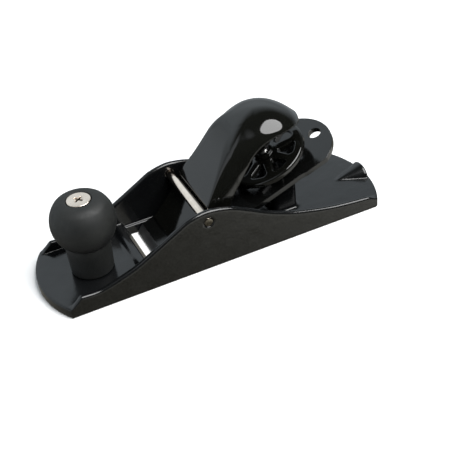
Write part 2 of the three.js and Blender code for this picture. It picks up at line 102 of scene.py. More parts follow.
slope = joints["iron_slide"]["axis"]
BED_ANGLE = math.atan2(-slope[2], slope[0])
BED_X = 34.2
MOUTH_X = 35.0
MOUTH_REAR_X = 31.2
MOUTH_HALF = 20.5
BED_REAR_X = 12.0
FENCE_FRONT_X = 44.0
FENCE_TOP_X = (38.9, 41.9)
FENCE_TOP_Z = 7.3
FENCE_ROUND = 0.5
MOUTH_ROUND = 0.3
SLOT_ROUND = 0.25
POST_X = (-45.0, -31.5)
POST_HALF = 9.5
POST_ROUND = 2.5
POST_FILLET = 1.8
RIB_TIP_X = -71.3
RIB_END_X = -87.0
RIB_RADIUS = 6.9
RIB_HEIGHT = 5.6
RIB_SINK = 0.6
RIB_DOME = 0.3  # how deep the rib's rear dome is, as a share of its radius
RIB_LEVEL = 0.92  # about the cosine of the rib's flare
RIB_SET_BACK = 0.3
RIB_FILLET = 0.5

pin_low, pin_high = box_mm("cross_pin")
PIN_X, _, PIN_Z = (pin_low + pin_high) / 2
PIN_RADIUS = (pin_high[2] - pin_low[2]) / 2
PIN_HALF = pin_high[1]
PIN_ROUND = 0.5
PIN_HOLE_ROUND = 0.35

knob_low, knob_high = box_mm("front_knob")
KNOB_X = (knob_low[0] + knob_high[0]) / 2
KNOB_BALL = (knob_high[1] - knob_low[1]) / 2
KNOB_BALL_Z = 32.9
KNOB_STEM = 10.4
KNOB_NECK = 11.0
KNOB_CROWN = 2.4
KNOB_FOOT = 0.8
KNOB_LIP = 0.4
KNOB_GROOVE = 0.12
KNOB_GROOVE_DROP = 0.5
KNOB_BALL_START = 1.5  # degrees above the groove
KNOB_SEAM = -40.0  # degrees above the ball's middle
KNOB_SEAM_WIDTH = 0.9
KNOB_SEAM_DEPTH = 0.1
SEAT_FIT = 0.35
SEAT_WALL = 1.2
SEAT_DEPTH = 3.7
SEAT_FLARE = 2.5

screw_low, screw_high = box_mm("knob_screw")
SCREW_RADIUS = 3.0
SCREW_HEAD = (screw_high[1] - screw_low[1]) / 2
SCREW_RIM = 0.5
SCREW_ROUND = 0.3
SCREW_CROWN = 0.006  # fall of the domed head for each square of the radius
SCREW_HEAD_DEPTH = 5.5
SHANK_TOP = -2.0
CROSS_TURN = math.pi / 5
CROSS_REACH = 2.5
CROSS_HALF = 0.55
CROSS_DEPTH = 1.8
CROSS_ROUND = 0.12
CROSS_TAPERS = (0.5, 0.1)  # along a wing and across it

IRON_THICK = 2.65
IRON_HALF = 19.6
IRON_HEAD_HALF = box_mm("plane_iron")[1][1]
IRON_ROUND = 0.22
IRON_EDGE_U = 2.9  # U runs up the iron's underside from where that meets z = 0
IRON_BEVEL = math.radians(33)
IRON_SHOULDER_U = 83.0
IRON_SHOULDER_RUN = 2.5
IRON_HEAD_RADIUS = 23.1
IRON_HEAD_CENTRE_U = 86.2
IRON_HOLE_U = 102.4
IRON_HOLE = 3.25

cap_low, cap_high = box_mm("lever_cap")
CAP_HALF = cap_high[1]
CAP_WALL = 3.0
CAP_PLATE = 3.4
CAP_RAMP = math.radians(47)
CAP_NOSE = (22.9, 8.1)  # (x, z)
CAP_STEP_X = 6.6
CAP_PLATE_LENGTH = 33.0
CAP_PLATE_ROUND = 0.5
CAP_INSET = 0.3
CAP_RIM_ROUND = 0.6
CAP_INNER_ROUND = 0.3
CAP_FRONT_ROUND = 0.4
CAP_PLATE_FILLET = 0.05
CAP_CENTRE_X = cap_low[0] + CAP_HALF
CAP_SHOULDERS = (0.5, 11.0)  # width beside the flat front, at the step and far behind it
CAP_SHOULDER_RUN = 17.0
CAP_SHOULDER_POWER = 1.3
CAP_DOME = (1.15, 1.65)  # half width by rise, where the front is flat and where it is round
CAP_FLAT_X = (-12.0, -30.0)  # the flat front fades out between these
CREASE_X = (-24.0, 6.0)  # the creases beside the flat front tighten between these
CREASE_RADII = (4.0, 0.8)
CREASE_SPREAD = 3.5
CROWN_TOP_X = -30.5
CROWN = [  # (x, z) along the middle of the hump's top
    (6.6, 29.1), (-0.6, 39.6), (-8, 50.9), (-12.4, 55.8), (-17.6, 59.8), (-23.2, 62.5), (-30.5, 63.77),
    (-38, 62.7), (-44.8, 59.3), (-51, 53.9),
]
RIM = [  # (x, z) along the hump's lower edge
    (-2.8, 16.7), (-4.4, 24), (-7.4, 30.5), (-11.7, 37), (-16.9, 44.8), (-20.6, 49.2), (-25.1, 52.4),
    (-31.1, 54.6), (-38, 55.2), (-45, 54), (-52, 51.5),
]

spin = joints["wheel_spin"]
WHEEL_CENTRE = np.array(spin["pos_m"]) / MM
WHEEL_TILT = math.atan2(spin["axis"][0], spin["axis"][2])
WHEEL_RADIUS = box_mm("cap_wheel")[1][1]
WHEEL_THICK = 3.5
WHEEL_ROUND = 1.1
WHEEL_WINDOWS = 8
WINDOW_RADII = (7.6, 16.4)
WINDOW_HALF_ANGLE = math.radians(15)
WINDOW_CORNER = 2.6
WINDOW_NECK = 1.2
WINDOW_ROUND = 0.8
WINDOW_TURN = math.radians(4.5)
HUB_RADIUS = 5.0
HUB_RISE = 1.8
HUB_DROP = 0.8
HUB_ROUND = 0.7
STUD_RADIUS = 3.0
STUD_TOP = 15.0
BOSS_RADIUS = 6.0
BOSS_BOTTOM = 5.0
BOSS_ROUND = 0.5
BOSS_FILLET = 1.2
BOSS_COVER = 0.8  # how far the boss stays below the cap's outer skin
BORE_REACH = 18.5
BORE_ROUND = 0.3

THREAD_PITCH = 1.0
THREAD_DEPTH = 0.45
THREAD_STEPS = 48
THREAD_FADES = (1.5, 1.2)  # length of the tapered tip and of the tapered top
STUD_TAPER = 0.28
STUD_MARGIN = 0.25
STUD_INSET = 0.02


# ---- solid fields: negative inside, positive outside, in millimetres ----
def join(a, b, radius=0.0):
    """The union of two solids, with a fillet between them."""
    reach_a = np.maximum(radius - a, 0)
    reach_b = np.maximum(radius - b, 0)
    return np.maximum(radius, np.minimum(a, b)) - np.hypot(reach_a, reach_b)


def meet(a, b, radius):
    """What two solids share, with its edge rounded."""
    return -join(-a, -b, radius)


def cut(a, b, radius):
    """The first solid less the second, with the edge rounded."""
    return meet(a, -b, radius)


def slab(value, low, high):
    """What lies between two parallel planes."""
    return np.maximum(low - value, value - high)


def line_side(x, z, start, end):
    """Distance from the line through two points, positive on the left of start to end."""
    run, rise = end[0] - start[0], end[1] - start[1]
    return (run * (z - start[1]) - rise * (x - start[0])) / math.hypot(run, rise)


def smooth_profile(points, x, ends=0):
    """Height at x of a smooth curve through points, and its slope's cosine; ends counts straight ends."""
    middle = np.array(points[ends:len(points) - ends], float)
    padded = np.vstack([2 * middle[0] - middle[1], middle, 2 * middle[-1] - middle[-2]])
    t = np.linspace(0, 1, 24, endpoint=False)[:, None]
    pieces = []
    for a, b, c, d in zip(padded, padded[1:], padded[2:], padded[3:]):
        pieces.append(b + t * ((c - a) + t * (2 * a - 5 * b + 4 * c - d + t * (3 * b - a - 3 * c + d))) / 2)
    curve = np.vstack(pieces + [middle[-1:]])
    if ends:
        curve = np.vstack([points[:ends], curve, points[-ends:]])
    curve = curve[np.argsort(curve[:, 0])]
    height = np.interp(x, curve[:, 0], curve[:, 1])
    steep = np.gradient(curve[:, 1], curve[:, 0])
    return height, 1 / np.hypot(1, np.interp(x, curve[:, 0], steep))


def bed_side(x, z, above):
    """Distance above a plane parallel to the bed, itself at a distance above the iron's underside."""
    return (x - BED_X) * math.sin(BED_ANGLE) + z * math.cos(BED_ANGLE) - above


def unit_field(field, x, y, z):
    """The field divided by the length of its gradient, so that it measures distance near the surface."""
    small = 0.01
    value = field(x, y, z)
    slopes = [field(x + small, y, z), field(x, y + small, z), field(x, y, z + small)]
    length = np.sqrt(sum(((other - value) / small) ** 2 for other in slopes))
    return value / np.maximum(length, 0.3)


def arc_end(x, y, rise, towards):
    """Distance from the rounded toe or heel."""
    radius = (HALF_WIDTH ** 2 + rise ** 2) / (2 * rise)
    past = np.maximum(towards * x - (HALF_LENGTH - radius), 0)
    return np.hypot(past, y) - radius


def tray_field(x, across, z, ends):
    """The sole and the two cheeks."""
    height, level = smooth_profile(CREST, x, ends=1)
    crest = np.maximum(height, DECK)
    edge = np.clip((crest - DECK) / 2, 0.05, CHEEK_ROUND)
    channel = meet(DECK - z, across - (HALF_WIDTH - CHEEK), FILLET)
    tray = meet(across - HALF_WIDTH, (z - crest) * level, edge)
    tray = meet(tray, -channel, edge)
    tray = meet(tray, ends, END_ROUND)
    return meet(tray, -z, SOLE_ROUND)


def fence_field(x, across, z, mouth_front):
    """The bar across the deck, in front of the mouth."""
    front = line_side(x, z, (FENCE_TOP_X[1], FENCE_TOP_Z), (FENCE_FRONT_X, DECK))
    fence = meet(z - FENCE_TOP_Z, front, FENCE_ROUND)
    fence = meet(fence, mouth_front, MOUTH_ROUND)
    return np.maximum(fence, np.maximum(across - HALF_WIDTH + CHEEK / 2, ROOT_Z - z))


def bed_field(x, across, z):
    """The ramp that the iron lies on, behind the mouth."""
    bed = np.maximum(bed_side(x, z, -GAP), BED_REAR_X - x)
    return np.maximum(bed, np.maximum(across - MOUTH_HALF, ROOT_Z - z))


def post_field(x, across, z):
    """The pedestal under the iron, near the heel."""
    corner_x = np.abs(x - sum(POST_X) / 2) - (POST_X[1] - POST_X[0]) / 2 + POST_ROUND
    corner_y = across - POST_HALF + POST_ROUND
    post = np.hypot(np.maximum(corner_x, 0), np.maximum(corner_y, 0)) - POST_ROUND
    return np.maximum(post + np.minimum(np.maximum(corner_x, corner_y), 0), ROOT_Z - z)


def rib_field(x, y, z):
    """The rib at the heel: a flattened half cone that grows towards the rear and ends in a dome."""
    squeeze = RIB_HEIGHT / RIB_RADIUS
    upright = (z - DECK + RIB_SINK) / squeeze
    flare = RIB_RADIUS / (RIB_TIP_X - RIB_END_X)
    cone = (np.hypot(y, upright) - (RIB_TIP_X - x) * flare) * squeeze * RIB_LEVEL
    dome = (np.hypot(np.hypot(y, upright), (x - RIB_END_X) / RIB_DOME) - RIB_RADIUS) * squeeze
    return np.maximum(np.where(x > RIB_END_X, cone, dome), ROOT_Z - z)


def body_field(x, y, z):
    """The casting, with its mouth and the hole for the cross pin."""
    across = np.abs(y)
    ends = np.maximum(arc_end(x, y, TOE_RISE, 1), arc_end(x, y, HEEL_RISE, -1))
    mouth_front = line_side(x, z, (MOUTH_X, 0), (FENCE_TOP_X[0], FENCE_TOP_Z))
    body = tray_field(x, across, z, ends)
    body = join(body, fence_field(x, across, z, mouth_front), BLOCK_FILLET)
    body = join(body, bed_field(x, across, z), BLOCK_FILLET)
    body = join(body, post_field(x, across, z), POST_FILLET)
    body = join(body, np.maximum(rib_field(x, y, z), ends + RIB_SET_BACK), RIB_FILLET)

    above_bed = np.minimum(MOUTH_REAR_X - x, -bed_side(x, z, -GAP))
    mouth = np.maximum(np.maximum(across - MOUTH_HALF, -mouth_front), above_bed)
    body = cut(body, mouth, SLOT_ROUND)
    hole = np.hypot(x - PIN_X, z - PIN_Z) - PIN_RADIUS - FIT
    within = ends + 0.02  # no fillet reaches past the outline of the sole
    return np.maximum(cut(body, hole, PIN_HOLE_ROUND), within)


def ease(share):
    """A share that starts and ends gently."""
    return share * share * (3 - 2 * share)


def ramp_depth(x, z):
    """Distance below the front face of the cap's front plate."""
    return -(x - CAP_NOSE[0]) * math.sin(CAP_RAMP) - (z - CAP_NOSE[1]) * math.cos(CAP_RAMP)


def hump_field(x, y, z):
    """The palm rest: a half elliptical dome with a flat front, parted from the flanks by soft creases."""
    height, level = smooth_profile(CROWN, x)
    level = np.where(x < CROWN_TOP_X, 1, level)
    past = np.maximum(CAP_CENTRE_X - x, 0)
    half = np.sqrt(np.maximum(CAP_HALF ** 2 - past ** 2, 0.04))
    run = np.maximum(CAP_STEP_X - x, 0) / CAP_SHOULDER_RUN
    grown = 1 - np.exp(-(run ** CAP_SHOULDER_POWER))
    front = ease(np.clip((x - CAP_FLAT_X[1]) / (CAP_FLAT_X[0] - CAP_FLAT_X[1]), 0, 1))
    flat = (half - CAP_SHOULDERS[0] - (CAP_SHOULDERS[1] - CAP_SHOULDERS[0]) * grown) * front
    ratio = CAP_DOME[1] + (CAP_DOME[0] - CAP_DOME[1]) * front
    dome_rise = half / ratio
    lift = dome_rise * (1 - np.sqrt(1 - np.clip(flat / half, 0, 0.98) ** 2))
    dome = meet(np.abs(y) - half, ((z - height) * level - lift) * ratio, half)
    dome = np.maximum(dome, np.hypot(past, y) - CAP_HALF)

    fade = ease(np.clip((x - CREASE_X[0]) / (CREASE_X[1] - CREASE_X[0]), 0, 1))
    spread = np.clip(flat / half, 0, 0.9)
    steep = spread / np.sqrt(1 - spread ** 2) / ratio
    widest = CREASE_RADII[0] + (CREASE_RADII[1] - CREASE_RADII[0]) * fade
    crease = np.minimum(CREASE_SPREAD * steep, widest)
    return np.where(steep > 0, meet(dome, (z - height) * level, np.maximum(crease, 0.001)), dome)


def wheel_axis(x, y, z):
    """Distance from the wheel's axis, and distance along it from the wheel's upper face."""
    out = x - WHEEL_CENTRE[0]
    up = z - WHEEL_CENTRE[2]
    side = out * math.cos(WHEEL_TILT) - up * math.sin(WHEEL_TILT)
    return np.hypot(side, y), out * math.sin(WHEEL_TILT) + up * math.cos(WHEEL_TILT)


def plate_field(x, across, z):
    """The cap's sloping front plate, down to its nose on the iron."""
    depth = ramp_depth(x, z)
    along = -(x - CAP_NOSE[0]) * math.cos(CAP_RAMP) + (z - CAP_NOSE[1]) * math.sin(CAP_RAMP)
    plate = meet(-depth, x - CAP_NOSE[0], CAP_PLATE_ROUND)
    plate = np.maximum(plate, np.maximum(depth - CAP_PLATE, along - CAP_PLATE_LENGTH))
    plate = meet(plate, across - CAP_HALF + CAP_INSET, CAP_FRONT_ROUND)
    return np.maximum(plate, -bed_side(x, z, IRON_THICK + GAP))


def cap_field(x, y, z):
    """The hump as a shell, open in front and below, with the front plate and the threaded boss."""
    hump = unit_field(hump_field, x, y, z)
    depth = ramp_depth(x, z)
    hollow = np.maximum(hump + CAP_WALL, CAP_PLATE - depth)
    rim, level = smooth_profile(RIM, x)
    floor = np.maximum((rim - z) * np.maximum(level, 0.25), -bed_side(x, z, IRON_THICK + GAP))
    shell = cut(hump, hollow, CAP_INNER_ROUND)
    shell = meet(shell, floor, CAP_RIM_ROUND)
    front = np.minimum(x - CAP_STEP_X, np.maximum(-depth, x - CAP_NOSE[0]))
    shell = meet(shell, front, CAP_FRONT_ROUND)
    cap = join(shell, plate_field(x, np.abs(y), z), CAP_PLATE_FILLET)

    radial, up = wheel_axis(x, y, z)
    boss = meet(radial - BOSS_RADIUS, BOSS_BOTTOM - up, BOSS_ROUND)
    cap = join(cap, np.maximum(boss, hump + BOSS_COVER), BOSS_FILLET)
    return cut(cap, np.maximum(radial - STUD_RADIUS - FIT, up - BORE_REACH), BORE_ROUND)


def wheel_field(x, y, z):
    """The wheel about the z axis, with its upper face at z = 0."""
    radius = np.hypot(x, y)
    step = 2 * math.pi / WHEEL_WINDOWS
    turn = np.mod(np.arctan2(y, x) - WINDOW_TURN + step / 2, step) - step / 2
    out = radius * np.cos(turn)
    aside = np.abs(radius * np.sin(turn))
    outer = WINDOW_RADII[1] - WINDOW_CORNER
    inner = WINDOW_RADII[0] + WINDOW_NECK
    spread = WINDOW_HALF_ANGLE - math.asin(WINDOW_CORNER / outer)
    facing = WINDOW_HALF_ANGLE + math.pi / 2
    far = (outer * math.cos(spread) + WINDOW_CORNER * math.cos(facing),
           outer * math.sin(spread) + WINDOW_CORNER * math.sin(facing))
    near = (inner + WINDOW_NECK * math.cos(facing), WINDOW_NECK * math.sin(facing))
    window = meet(line_side(out, aside, near, far), radius - WINDOW_RADII[1], WINDOW_CORNER)
    window = meet(window, WINDOW_RADII[0] - out, HUB_ROUND)
    disc = meet(radius - WHEEL_RADIUS, slab(z, -WHEEL_THICK, 0), WHEEL_ROUND)
    wheel = cut(disc, window, WINDOW_ROUND)
    hub = meet(radius - HUB_RADIUS, slab(z, -WHEEL_THICK - HUB_DROP, HUB_RISE), HUB_ROUND)
    wheel = join(wheel, hub, HUB_ROUND)
    return cut(wheel, radius - STUD_RADIUS - FIT, BORE_ROUND)


def screw_field(x, y, z):
    """Countersunk screw about the z axis, with the top of its head at z = 0."""
    radius = np.hypot(x, y)
    cone = (radius - (SCREW_HEAD + z + SCREW_RIM)) * math.sqrt(0.5)
    head = meet(np.maximum(radius - SCREW_HEAD, cone), z + radius ** 2 * SCREW_CROWN, SCREW_ROUND)
    head = np.maximum(head, -z - SCREW_HEAD_DEPTH)
    shank = np.maximum(radius - SCREW_RADIUS, slab(z, screw_low[2] - screw_high[2], SHANK_TOP))
    screw = join(head, shank)
    for angle in (CROSS_TURN, CROSS_TURN + math.pi / 2):
        along = np.abs(x * math.cos(angle) + y * math.sin(angle))
        aside = np.abs(y * math.cos(angle) - x * math.sin(angle))
        past_end = along - CROSS_REACH - z * CROSS_TAPERS[0]
        past_side = aside - CROSS_HALF - z * CROSS_TAPERS[1]
        wing = np.maximum(np.maximum(past_end, past_side), -z - CROSS_DEPTH)
        screw = cut(screw, wing, CROSS_ROUND)
    return screw


# ---- meshes ----
def axis_steps(*spans):
    """Grid lines along one axis: each span is (start, end, step)."""
    lines = [np.arange(start, end - step * 0.4, step) for start, end, step in spans]
    return np.concatenate(lines + [[spans[-1][1]]])


def make_object(name, mesh, matrix=None):
    """An object from a mesh in millimetres, which the matrix then places in metres."""
    mesh.transform(Matrix.Scale(MM, 4))
    if matrix is not None:
        mesh.transform(matrix)
    piece = bpy.data.objects.new(name, mesh)
    bpy.context.scene.collection.objects.link(piece)
    return piece


def edge_crossings(value, lines, axis):
    """Where the grid's edges along one axis cross the surface.

    Gives the crossings, the four cells round each of those edges, and which edges leave the solid.
    """
    low = [slice(None)] * 3
    high = [slice(None)] * 3
    low[axis] = slice(None, -1)
    high[axis] = slice(1, None)
    inside = value < 0
    spot = np.argwhere(inside[tuple(low)] != inside[tuple(high)])
    ahead = spot.copy()
    ahead[:, axis] += 1
    before = value[tuple(spot.T)]
    after = value[tuple(ahead.T)]
    share = before / (before - after)
    point = np.stack([lines[k][spot[:, k]] for k in range(3)], axis=1)
    point[:, axis] += share * (lines[axis][ahead[:, axis]] - lines[axis][spot[:, axis]])

    second, third = (axis + 1) % 3, (axis + 2) % 3
    corners = []
    for back_second, back_third in ((1, 1), (0, 1), (0, 0), (1, 0)):
        cell = spot.copy()
        cell[:, second] -= back_second
        cell[:, third] -= back_third
        corners.append(np.ravel_multi_index(tuple(cell.T), value.shape))
    return point, corners, before < 0


def surface(name, field, grid, matrix=None):
    """A smooth mesh of the surface where the field is zero.

    Each grid edge that crosses the surface gives a quad, whose corners are the four cells round the edge.
    Each cell's point starts at the mean of its edges' crossings and then steps onto the surface.
    """
    lines = [np.asarray(line) for line in grid]
    sparse = [line.reshape([-1 if i == k else 1 for i in range(3)]) for k, line in enumerate(lines)]
    value = np.broadcast_to(field(*sparse), [len(line) for line in lines])
    cells = []
    places = []
    quads = []
    for axis in range(3):
        point, corners, leaving = edge_crossings(value, lines, axis)
        cells += corners
        places += [point] * len(corners)
        quad = np.stack(corners, axis=1)
        quads.append(np.where(leaving[:, None], quad, quad[:, ::-1]))
    unique, inverse = np.unique(np.concatenate(cells), return_inverse=True)
    places = np.concatenate(places)
    count = np.bincount(inverse)
    points = np.stack([np.bincount(inverse, weights=places[:, k]) / count for k in range(3)], axis=1)
    for _ in range(3):
        points = points + step_to_surface(field, points)
    faces = np.searchsorted(unique, np.concatenate(quads))
    mesh = bpy.data.meshes.new(name)
    mesh.from_pydata(points.tolist(), [], faces.tolist())
    mesh.polygons.foreach_set("use_smooth", [True] * len(mesh.polygons))
    mesh.update()
    return make_object(name, mesh, matrix)


def step_to_surface(field, points):
    """One Newton step of each point towards the field's zero surface, kept short."""
    small = 0.02
    x, y, z = points.T
    value = field(x, y, z)
    gradient = np.stack([
        (field(x + small, y, z) - field(x - small, y, z)) / (2 * small),
        (field(x, y + small, z) - field(x, y - small, z)) / (2 * small),
        (field(x, y, z + small) - field(x, y, z - small)) / (2 * small),
    ], axis=1)
    step = -gradient * (value / np.maximum((gradient ** 2).sum(axis=1), 0.05))[:, None]
    length = np.linalg.norm(step, axis=1, keepdims=True)
    return step * np.minimum(1, 0.2 / np.maximum(length, 1e-9))


def lathe(name, profile, matrix, segments):
    """A turned piece: profile is (radius, height) from the axis at the bottom to the axis at the top."""
    mesh = bpy.data.meshes.new(name)
    bm = bmesh.new()
    rings = []
    for radius, height in profile:
        if radius < 1e-6:
            rings.append([bm.verts.new((0, 0, height))])
            continue
        angles = [2 * math.pi * i / segments for i in range(segments)]
        rings.append([bm.verts.new((radius * math.cos(a), radius * math.sin(a), height)) for a in angles])
    for below, above in zip(rings, rings[1:]):
        for i in range(segments):
            corners = [below[i % len(below)], below[(i + 1) % len(below)],
                       above[(i + 1) % len(above)], above[i % len(above)]]
            distinct = list(dict.fromkeys(corners))
            if len(distinct) > 2:
                bm.faces.new(distinct)
    bmesh.ops.recalc_face_normals(bm, faces=bm.faces)
    bm.to_mesh(mesh)
    bm.free()
    mesh.polygons.foreach_set("use_smooth", [True] * len(mesh.polygons))
    mesh.set_sharp_from_angle(angle=math.radians(40))
    return make_object(name, mesh, matrix)


def arc(centre, radius, start, end, count):
    """Points of an arc from one angle to another, both in degrees, with both its ends."""
    angles = [math.radians(start + (end - start) * i / count) for i in range(count + 1)]
    return [(centre[0] + radius * math.cos(a), centre[1] + radius * math.sin(a)) for a in angles]


def at_mm(x, y, z):
    return Matrix.Translation((x * MM, y * MM, z * MM))


def dress(piece, body, slot, materials, *nodes):
    """Gives a piece its materials and the body it rides on, and hides the nodes it stands for; slot is not
    used.
    """
    for material in materials:
        piece.data.materials.append(material)
    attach(piece, body)
    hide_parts(*nodes)


# ---- materials: bump depths are in metres, and noise is in waves a metre ----
NOISE_LOW, NOISE_HIGH = 0.3, 0.7  # most of what a noise texture gives lies between these


class Paint:
    """A small helper that builds one procedural material around a Principled shader."""

    def __init__(self, name, colour, roughness, metallic=0.0):
        self.material = bpy.data.materials.new(name)
        self.material.use_nodes = True
        self.tree = self.material.node_tree
        self.shader = self.tree.nodes["Principled BSDF"]
        self.shader.inputs["Base Color"].default_value = (*colour, 1)
        self.shader.inputs["Roughness"].default_value = roughness
        self.shader.inputs["Metallic"].default_value = metallic
        self.place = self.tree.nodes.new("ShaderNodeTexCoord").outputs["Object"]

    def link(self, output, socket):
        self.tree.links.new(output, socket)

    def noise(self, per_metre, detail=3, stretch=None):
        node = self.tree.nodes.new("ShaderNodeTexNoise")
        node.inputs["Scale"].default_value = per_metre
        node.inputs["Detail"].default_value = detail
        place = self.place
        if stretch:
            mapping = self.tree.nodes.new("ShaderNodeMapping")
            mapping.inputs["Scale"].default_value = stretch
            self.link(place, mapping.inputs["Vector"])
            place = mapping.outputs["Vector"]
        self.link(place, node.inputs["Vector"])
        return node.outputs["Fac"]

    def between(self, factor, low, high, start=NOISE_LOW, end=NOISE_HIGH):
        """A number that runs from low to high as factor runs from start to end."""
        node = self.tree.nodes.new("ShaderNodeMapRange")
        node.inputs["From Min"].default_value = start
        node.inputs["From Max"].default_value = end
        node.inputs["To Min"].default_value = low
        node.inputs["To Max"].default_value = high
        self.link(factor, node.inputs["Value"])
        return node.outputs["Result"]

    def colours(self, factor, low, high):
        """A colour that runs from low to high over the range of a noise."""
        node = self.tree.nodes.new("ShaderNodeValToRGB")
        for element, place, colour in zip(node.color_ramp.elements, (NOISE_LOW, NOISE_HIGH), (low, high)):
            element.position = place
            element.color = (*colour, 1)
        self.link(factor, node.inputs["Fac"])
        return node.outputs["Color"]

    def size_along(self, vector, axis):
        """The size, without its sign, of one component of a vector."""
        split = self.tree.nodes.new("ShaderNodeSeparateXYZ")
        self.link(vector, split.inputs["Vector"])
        node = self.tree.nodes.new("ShaderNodeMath")
        node.operation = "ABSOLUTE"
        self.link(split.outputs[axis], node.inputs[0])
        return node.outputs["Value"]

    def mix(self, factor, first, second):
        node = self.tree.nodes.new("ShaderNodeMix")
        node.data_type = "RGBA"
        self.link(factor, node.inputs["Factor"])
        self.link(first, node.inputs["A"])
        self.link(second, node.inputs["B"])
        return node.outputs["Result"]

    def colour(self, output):
        self.link(output, self.shader.inputs["Base Color"])

    def roughness(self, output):
        self.link(output, self.shader.inputs["Roughness"])

    def bump(self, height, depth):
        """Relief of a height field that is depth metres from its lowest to its highest."""
        node = self.tree.nodes.new("ShaderNodeBump")
        node.inputs["Strength"].default_value = 1
        node.inputs["Distance"].default_value = depth
        self.link(height, node.inputs["Height"])
        previous = self.shader.inputs["Normal"].links
        if previous:
            self.link(previous[0].from_socket, node.inputs["Normal"])
        self.link(node.outputs["Normal"], self.shader.inputs["Normal"])


def enamel_paint(name, dark, light, speckle, specular):
    paint = Paint(name, dark, 0.16)
    paint.shader.inputs["Specular IOR Level"].default_value = specular
    paint.colour(paint.colours(paint.noise(speckle, detail=4), dark, light))
    paint.roughness(paint.between(paint.noise(130), 0.13, 0.22))
    paint.bump(paint.noise(160, detail=1), 0.00006)
    paint.bump(paint.noise(900, detail=2), 0.00002)
    return paint.material


def ground_steel(name, colour, stretch):
    paint = Paint(name, colour, 0.3, metallic=1)
    streaks = paint.noise(400, detail=4, stretch=stretch)
    dark = tuple(channel * 0.75 for channel in colour)
    paint.colour(paint.colours(streaks, dark, colour))
    paint.roughness(paint.between(streaks, 0.24, 0.4))
    paint.bump(streaks, 0.000006)
    return paint.material


def gloss_black(name, colour, roughness):
    paint = Paint(name, colour, roughness)
    light = tuple(channel * 1.5 for channel in colour)
    paint.colour(paint.colours(paint.noise(60), colour, light))
    paint.roughness(paint.between(paint.noise(220), roughness * 0.8, roughness * 1.3))
    paint.bump(paint.noise(120, detail=1), 0.00002)
    return paint.material


def moulded_plastic():
    paint = Paint("moulded_plastic", (0.012, 0.013, 0.012), 0.6)
    paint.shader.inputs["Specular IOR Level"].default_value = 0.45
    paint.colour(paint.colours(paint.noise(90), (0.005, 0.006, 0.006), (0.010, 0.011, 0.010)))
    paint.roughness(paint.between(paint.noise(300), 0.54, 0.68))
    paint.bump(paint.noise(2600, detail=2), 0.000012)
    return paint.material


def zinc_plate(name, axis, span, shade_shares, rough):
    """Plating with painted shade: its colour goes from one share of dark brown to another over a span of
    distances along an axis.
    """
    paint = Paint(name, (0.88, 0.82, 0.74), 0.28, metallic=1)
    bright = paint.colours(paint.noise(500), (0.79, 0.69, 0.59), (0.90, 0.79, 0.69))
    # painted shade: a dark brown that darkens the plating over the given span
    shade_brown = paint.colours(paint.noise(900), (0.045, 0.039, 0.029), (0.18, 0.165, 0.135))
    share = paint.between(paint.size_along(paint.place, axis), *shade_shares, span[0] * MM, span[1] * MM)
    paint.colour(paint.mix(share, bright, shade_brown))
    paint.roughness(paint.between(paint.noise(700), *rough))
    paint.bump(paint.noise(1500, detail=2), 0.000006)
    return paint.material


ENAMEL = enamel_paint("enamel", (0.003, 0.0033, 0.0036), (0.005, 0.0054, 0.0058), 45, 0.5)
CHEEK_ENAMEL = enamel_paint("cheek_enamel", (0.002, 0.002, 0.0016), (0.0085, 0.0085, 0.007), 950, 0.42)
SOLE_STEEL = ground_steel("sole_steel", (0.55, 0.55, 0.54), (0.06, 1, 1))
EDGE_STEEL = ground_steel("edge_steel", (0.42, 0.42, 0.42), (1, 0.05, 1))
IRON_BLACK = gloss_black("iron_black", (0.002, 0.0021, 0.002), 0.13)
CAP_BLACK = gloss_black("cap_black", (0.0028, 0.0029, 0.0024), 0.06)
PLASTIC = moulded_plastic()
# Painted shade: the plating is dark brown deeper than 0.45 to 0.8 mm below the head's top, in the cross
# recess.
SCREW_SHADE_SPAN = (screw_high[2] - 0.8, screw_high[2] - 0.45)
SCREW_ZINC = zinc_plate("screw_zinc", "Z", SCREW_SHADE_SPAN, (1, 0), (0.22, 0.38))
# Painted shade: the last 0.1 to 0.35 mm at each end of the pin is dark brown, as shade on the ends.
PIN_END_SHADE_SPAN = (PIN_HALF - 0.35, PIN_HALF - 0.1)
PIN_ZINC = zinc_plate("pin_zinc", "Y", PIN_END_SHADE_SPAN, (0, 1), (0.1, 0.18))
SCREW_STEEL = ground_steel("screw_steel", (0.5, 0.5, 0.49), (1, 1, 0.2))
BODY_MATERIALS = [ENAMEL, SOLE_STEEL, CHEEK_ENAMEL]
IRON_MATERIALS = [IRON_BLACK, EDGE_STEEL]


# ---- pieces ----
def make_body():
    x = axis_steps((-92, 29, 0.9), (29, 46, 0.45), (46, 92, 0.9))
    y = axis_steps((-27, -19, 0.5), (-19, 19, 0.75), (19, 27, 0.5))
    z = axis_steps((-1.5, 10, 0.45), (10, 35, 0.7))
    piece = surface("plane_body", body_field, (x, y, z))
    dress(piece, "frame", "enamel", BODY_MATERIALS, "body")
    square, near = 0.95, 0.1
    for face in piece.data.polygons:
        if face.normal.z < -square and face.center.z < near * MM:
            face.material_index = BODY_MATERIALS.index(SOLE_STEEL)
        elif abs(face.normal.y) > square and abs(face.center.y) > (HALF_WIDTH - near) * MM:
            face.material_index = BODY_MATERIALS.index(CHEEK_ENAMEL)


def make_cap():
    x = axis_steps((-53, 25, 0.6))
    y = axis_steps((-20, 20, 0.6))
    z = axis_steps((5, 65, 0.6))
    dress(surface("lever_cap_shell", cap_field, (x, y, z)), "cap", "cap_paint", [CAP_BLACK], "lever_cap")


def on_wheel_axis():
    """The place of what is drawn about the z axis and sits on the wheel's axis."""
    return Matrix.Translation(Vector(WHEEL_CENTRE) * MM) @ Matrix.Rotation(WHEEL_TILT, 4, "Y")


def make_wheel():
    x = axis_steps((-22, 22, 0.4))
    z = axis_steps((-5.5, 3, 0.35))
    piece = surface("spoked_wheel", wheel_field, (x, x, z), on_wheel_axis())
    dress(piece, "wheel", "cap_paint", [CAP_BLACK], "cap_wheel")


